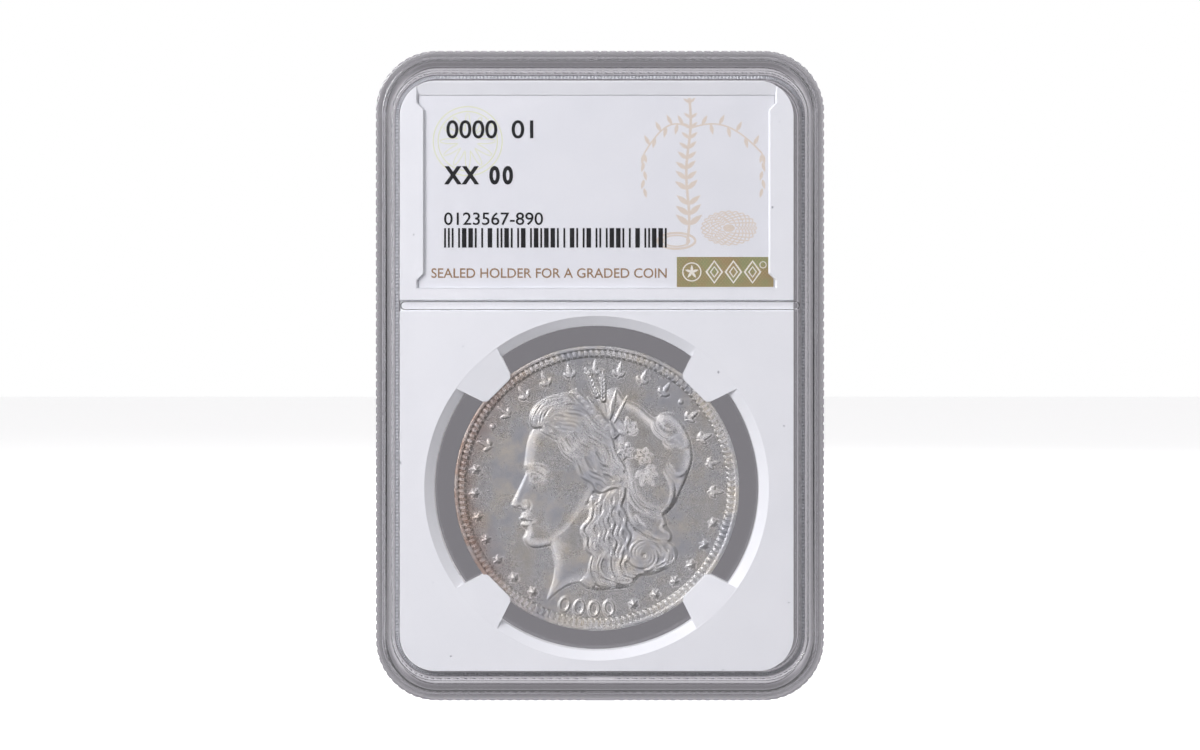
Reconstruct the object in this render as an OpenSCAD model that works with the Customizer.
// Graded coin slab: two clear shells welded round a white core that grips one coin.
// The slab stands on its bottom edge. X is width, Z is height, Y is thickness, and
// the front face looks towards -Y. The origin is the centre of the bottom edge.

/* [Case] */
// Overall width
case_w = 59.6; // [56:0.2:64]
// Overall height
case_h = 86.4; // [84:0.2:92]
// Radius of the outer corners
case_r = 8.1; // [7:0.1:9]
// Front of the stacking crest, measured from the parting plane
front_y = 4.2; // [4.1:0.1:4.6]
// Back of the stacking ridge, measured from the parting plane
back_y = 4.2; // [4.1:0.1:4.6]
// Thickness of each clear window
window_t = 1.2; // [1:0.1:1.2]
// Outer face of each window, measured from the parting plane
window_y = 3.4; // [3.4:0.1:3.8]
// Wall from the outer edge to the cavity at the two sides
side_wall = 3.1; // [3.1:0.1:3.3]
// Wall from the outer edge to the cavity at the top and the bottom
end_wall = 3.75; // [3.7:0.05:3.9]
// Inset of the plain bands of the edge, above and below the ribs
band_inset = 0.12; // [0.1:0.01:0.16]

/* [Stacking rim] */
// Inset of the crest on the front from the outer edge
crest_inset = 0.9; // [0.9:0.1:1.2]
// Height of the crest above the shoulder outside it
crest_rise = 0.3; // [0.2:0.05:0.4]
// How far the front opening reaches beyond the cavity, all round
opening_reach = 0.75; // [0.5:0.05:0.9]
// Inset of the recess on the back that takes the next slab's crest
recess_inset = 0.8; // [0.6:0.05:0.8]

/* [Grip ribs] */
// Distance from one rib to the next
rib_pitch = 1.15; // [0.9:0.05:1.6]
// Depth of the hollow between two ribs
rib_depth = 0.22; // [0.2:0.02:0.3]
// Start of each shell's ribs, measured from the parting plane
rib_start = 0.45; // [0.35:0.05:0.8]
// End of each shell's ribs, measured from the parting plane
rib_end = 3.8; // [3.5:0.1:3.8]
// Half the width of the plain pad at the middle of the bottom edge
pad_half = 2; // [1:0.5:4]

/* [Weld] */
// Inset of the tongue's outer side
tongue_inset = 1.2; // [1.1:0.05:1.3]
// Thickness of the tongue
tongue_t = 0.6; // [0.5:0.05:0.7]
// Height of the tongue
tongue_h = 0.9; // [0.6:0.1:1]
// Gap at each side of the tongue
tongue_gap = 0.1; // [0.05:0.01:0.12]
// Distance from the cavity to the middle of the melted seam
seam_out = 0.45; // [0.4:0.05:0.5]
// Width of the melted seam
seam_w = 0.4; // [0.3:0.05:0.5]
// Depth of the channel that the seam fills
seam_h = 0.3; // [0.2:0.05:0.4]
// Inset of the parting line on the outer edge
parting_inset = 0.35; // [0.25:0.05:0.5]
// Half the width of the parting line
parting_half = 0.15; // [0.1:0.05:0.2]

/* [Core] */
// Width of the white core
core_w = 52.5; // [51:0.1:52.5]
// Height of the white core
core_h = 78.7; // [77:0.1:79]
// Corner radius of the core
core_r = 4.75; // [4.5:0.05:5.5]
// Half the thickness of the core
core_half = 2.15; // [2.05:0.01:2.15]
// Radius of the well at the core's faces
well_mouth_r = 22.98; // [22.5:0.02:23.5]
// Radius of the well inside its two bevels
well_r = 21.7; // [21.3:0.1:22]
// Depth of the bevel round the well
bevel_depth = 0.7; // [0.4:0.1:1]

/* [Prongs] */
// Width of each prong where it leaves the core
prong_root_w = 7.9; // [6:0.1:9]
// Width of each prong at its tip
prong_tip_w = 4.84; // [3:0.02:6]
// Radius that the tips of the prongs reach to
prong_tip_r = 18.45; // [18.2:0.05:18.7]
// Half the thickness of a prong at its tip
prong_tip_half = 1.7; // [1.5:0.05:1.8]

/* [Coin] */
// Diameter of the coin
coin_d = 38.1; // [38.1:0.1:38.1]
// Thickness of the coin at its rim
coin_t = 2.4; // [2.2:0.1:2.4]
// Width of the raised rim and the beads inside it
coin_rim = 1.55; // [1:0.05:2]
// Depth of the field below the rim
coin_field = 0.4; // [0.1:0.05:0.5]
// Gap between the coin and each side of the groove that holds it
coin_gap = 0.05; // [0.03:0.01:0.08]
// Height of the coin's centre
coin_z = 28.2; // [27:0.1:29]

/* [Labels] */
// Width of each label
label_w = 47.4; // [46:0.1:47.6]
// Height of each label
label_h = 25.6; // [24:0.1:26]
// Height of a label's bottom edge
label_z = 54.95; // [54.5:0.05:55.5]
// Thickness of the label card
label_t = 0.18; // [0.12:0.02:0.2]
// Outer face of each label, measured from the parting plane
label_y = 1.74; // [1.7:0.01:1.75]
// How far the rails overhang each side of a label
rail_overhang = 0.8; // [0.6:0.1:1]
// Length of the open corner at each end of a rail
rail_cut = 1.1; // [0.8:0.1:1.6]
// Thickness of the foil stamps
foil_t = 0.03; // [0.02:0.01:0.04]
// Width of the foil band on the front label
foil_w = 12.9; // [10:0.1:14]
// Height of the foil band
foil_h = 4; // [3:0.1:5]
// Diameter of the round foil seal on the back label
seal_d = 15; // [10:0.5:18]

/* [Divider rib] */
// Height of the rib's centre line, between the label and the coin
divider_z = 52.55; // [52:0.05:53.5]
// Width of the rib
divider_w = 1.06; // [0.8:0.02:1.4]
// How far the rib stands into the core's groove
divider_rise = 0.42; // [0.3:0.02:0.45]

/* [Hidden] */
$fn = 96;

// Overlaps that keep cuts clean: a hair, and well past a face.
tiny = 0.01;
past = 1;
side_run = case_w - 2 * case_r;
up_run = case_h - 2 * case_r;
corner_run = PI * case_r / 2;
rim_run = 2 * side_run + 2 * up_run + 4 * corner_run;
rib_count = round(rim_run / rib_pitch);
half_rib = rim_run / rib_count / 2;

window_in = window_y - window_t;
shoulder_y = front_y - crest_rise;
cavity_w = case_w - 2 * side_wall;
cavity_h = case_h - 2 * end_wall;
cavity_r = case_r - side_wall;
// The core rests against the left wall of the cavity.
core_x = (core_w - cavity_w) / 2;
case_mid = case_h / 2;

coin_r = coin_d / 2;
prong_groove_half = coin_t / 2 + coin_gap;
label_top = label_z + label_h;
label_mid = label_z + label_h / 2;
// Room round a label in its pocket, and between a label's face and its rails.
pocket_gap = 0.1;
rail_gap = 0.06;
rail_y = label_y + rail_gap;
pocket_floor = label_y - label_t;
// Room round the divider rib in its groove, and round the seam in its channel.
groove_gap = 0.12;
seam_gap = 0.05;
// How far each prong runs back into the core.
prong_buried = 0.5;
// Rounding of the coin's edge.
coin_edge = 0.1;

// A point on the outer edge, at a run along it from the bottom centre, and an inset.
function corner_point(x, z, angle, inset) =
    [x + (case_r - inset) * cos(angle), z + (case_r - inset) * sin(angle)];

function edge_point(run, inset) =
    let (x = case_w / 2 - case_r,
         top = case_h - case_r,
         a = side_run / 2,
         b = a + corner_run,
         c = b + up_run,
         d = c + corner_run,
         e = d + side_run,
         f = e + corner_run,
         g = f + up_run,
         h = g + corner_run)
    run < a ? [run, inset] :
    run < b ? corner_point(x, case_r, -90 + 90 * (run - a) / corner_run, inset) :
    run < c ? [case_w / 2 - inset, case_r + run - b] :
    run < d ? corner_point(x, top, 90 * (run - c) / corner_run, inset) :
    run < e ? [x - (run - d), case_h - inset] :
    run < f ? corner_point(-x, top, 90 + 90 * (run - e) / corner_run, inset) :
    run < g ? [inset - case_w / 2, top - (run - f)] :
    run < h ? corner_point(-x, case_r, 180 + 90 * (run - g) / corner_run, inset) :
    [-x + run - h, inset];

function on_pad(run) = run < pad_half || run > rim_run - pad_half;

// Turns a flat drawing in X and Z into a plate from one Y to another.
module plate(from_y, to_y) {
    translate([0, to_y, 0]) rotate([90, 0, 0]) linear_extrude(to_y - from_y) children();
}

module round_rect(w, h, r) {
    square([w - 2 * r, h], center = true);
    square([w, h - 2 * r], center = true);
    for (x = [-1, 1], z = [-1, 1])
        translate([x * (w / 2 - r), z * (h / 2 - r)]) circle(r);
}

module case_outline(inset = 0) {
    translate([0, case_mid])
        round_rect(case_w - 2 * inset, case_h - 2 * inset, case_r - inset);
}

module ribbed_outline() {
    polygon([for (i = [0 : 2 * rib_count - 1])
        let (run = i * half_rib)
        edge_point(run, on_pad(run) ? 0 : (i % 2) * rib_depth)]);
}

// The cavity that holds the core, or an outline that runs outside it all round.
module cavity_outline(reach = 0) {
    translate([0, case_mid])
        round_rect(cavity_w + 2 * reach, cavity_h + 2 * reach, cavity_r + reach);
}

module tongue_ring(gap = 0) {
    difference() {
        case_outline(tongue_inset - gap);
        case_outline(tongue_inset + tongue_t + gap);
    }
}

module seam_ring(width) {
    difference() {
        cavity_outline(seam_out + width / 2);
        cavity_outline(seam_out - width / 2);
    }
}

module bar_outline(length, width) {
    square([length - width, width], center = true);
    for (x = [-1, 1]) translate([x * (length - width) / 2, 0]) circle(width / 2);
}

// The wall of either shell, from the parting plane at 0 to its outer face.
module shell_wall(outer_y) {
    difference() {
        union() {
            plate(0, parting_half) case_outline(parting_inset);
            plate(parting_half, rib_start) case_outline(band_inset);
            plate(rib_start, rib_end) ribbed_outline();
            plate(rib_end, outer_y) case_outline(band_inset);
        }
        plate(-tiny, window_in) cavity_outline();
    }
}

module front_shell() {
    color([0.85, 0.87, 0.9, 0.35]) {
        mirror([0, 1, 0]) difference() {
            union() {
                shell_wall(shoulder_y);
                plate(shoulder_y, front_y) case_outline(crest_inset);
            }
            plate(window_y, front_y + past) cavity_outline(opening_reach);
        }
        plate(-tiny, tongue_h) tongue_ring();
        plate(-window_in - tiny, -window_in + divider_rise)
            translate([0, divider_z]) bar_outline(cavity_w, divider_w);
    }
}

module back_shell() {
    color([0.85, 0.87, 0.9, 0.35]) difference() {
        shell_wall(back_y);
        plate(window_y, back_y + past) case_outline(recess_inset);
        plate(-tiny, tongue_h + tongue_gap) tongue_ring(tongue_gap);
        plate(-tiny, seam_h) seam_ring(seam_w + 2 * seam_gap);
    }
}

module weld_seam() {
    color([0.7, 0.72, 0.75]) plate(0, seam_h) seam_ring(seam_w);
}

module prong_wedge() {
    back = well_mouth_r + prong_buried;
    polygon([[prong_tip_r, -prong_tip_w / 2], [well_mouth_r, -prong_root_w / 2],
             [back, -prong_root_w / 2], [back, prong_root_w / 2],
             [well_mouth_r, prong_root_w / 2], [prong_tip_r, prong_tip_w / 2]]);
}

// Side view of a prong: full thickness at the core, thinner towards the coin.
module prong_side() {
    slope = (core_half - prong_tip_half) / (well_mouth_r - prong_tip_r);
    start = prong_tip_r - past;
    start_half = prong_tip_half - past * slope;
    back = well_mouth_r + past;
    polygon([[start, -start_half], [well_mouth_r, -core_half], [back, -core_half],
             [back, core_half], [well_mouth_r, core_half], [start, start_half]]);
}

module prongs() {
    difference() {
        intersection() {
            for (turn = [45 : 90 : 315])
                rotate([0, 0, turn])
                    linear_extrude(2 * core_half + past, center = true) prong_wedge();
            rotate_extrude() prong_side();
        }
        cylinder(r = coin_r + coin_gap, h = 2 * prong_groove_half, center = true);
    }
}

module well() {
    cylinder(r = well_r, h = 2 * core_half + past, center = true);
    for (end = [-1, 1]) scale([1, 1, end])
        translate([0, 0, core_half - bevel_depth])
            cylinder(r1 = well_r, r2 = well_mouth_r, h = bevel_depth);
}

// The opening that shows a label, wider at its four corners than between the rails.
module label_opening() {
    side = label_w / 2 + pocket_gap;
    inner = label_w / 2 - rail_overhang;
    top = label_top + pocket_gap;
    bottom = label_z - pocket_gap;
    slope = side - inner;
    translate([core_x, 0]) polygon([
        [-side, bottom], [side, bottom], [side, bottom + rail_cut],
        [inner, bottom + rail_cut + slope], [inner, top - rail_cut - slope],
        [side, top - rail_cut], [side, top], [-side, top],
        [-side, top - rail_cut], [-inner, top - rail_cut - slope],
        [-inner, bottom + rail_cut + slope], [-side, bottom + rail_cut]]);
}

module label_slot() {
    translate([core_x, label_mid])
        square([label_w + 2 * pocket_gap, label_h + 2 * pocket_gap], center = true);
}

module core() {
    color([0.93, 0.93, 0.94]) {
        difference() {
            plate(-core_half, core_half)
                translate([core_x, case_mid]) round_rect(core_w, core_h, core_r);
            translate([core_x, 0, coin_z]) rotate([90, 0, 0]) well();
            plate(-core_half - past, -rail_y) label_opening();
            plate(-rail_y - tiny, -pocket_floor) label_slot();
            plate(rail_y, core_half + past) label_opening();
            plate(pocket_floor, rail_y + tiny) label_slot();
            plate(-core_half - past, -window_in + divider_rise + groove_gap)
                translate([0, divider_z])
                    bar_outline(case_w, divider_w + 2 * groove_gap);
        }
        translate([core_x, 0, coin_z]) rotate([90, 0, 0]) prongs();
    }
}

module coin_side() {
    half = coin_t / 2;
    flat_r = coin_r - coin_edge;
    rim_r = coin_r - coin_rim;
    field = half - coin_field;
    field_r = rim_r - coin_field;
    polygon([[0, -field], [field_r, -field], [rim_r, -half], [flat_r, -half],
             [coin_r, coin_edge - half], [coin_r, half - coin_edge],
             [flat_r, half], [rim_r, half], [field_r, field], [0, field]]);
}

module coin() {
    color([0.75, 0.75, 0.74]) translate([core_x, 0, coin_z]) rotate([90, 0, 0])
        rotate_extrude() coin_side();
}

module front_label() {
    color([0.9, 0.9, 0.92]) plate(-label_y, -pocket_floor)
        translate([core_x, label_mid]) square([label_w, label_h], center = true);
}

module back_label() {
    color([0.9, 0.9, 0.92]) plate(pocket_floor, label_y)
        translate([core_x, label_mid]) square([label_w, label_h], center = true);
}

module front_foil() {
    foil_right = core_x + label_w / 2 - pocket_gap;
    color([0.62, 0.55, 0.4]) plate(-label_y - foil_t, -label_y)
        translate([foil_right - foil_w / 2, label_z + pocket_gap + foil_h / 2])
            square([foil_w, foil_h], center = true);
}

module back_foil() {
    color([0.75, 0.75, 0.8]) plate(label_y, label_y + foil_t)
        translate([core_x, label_mid]) circle(seal_d / 2);
}

front_shell();
back_shell();
weld_seam();
core();
coin();
front_label();
front_foil();
back_label();
back_foil();
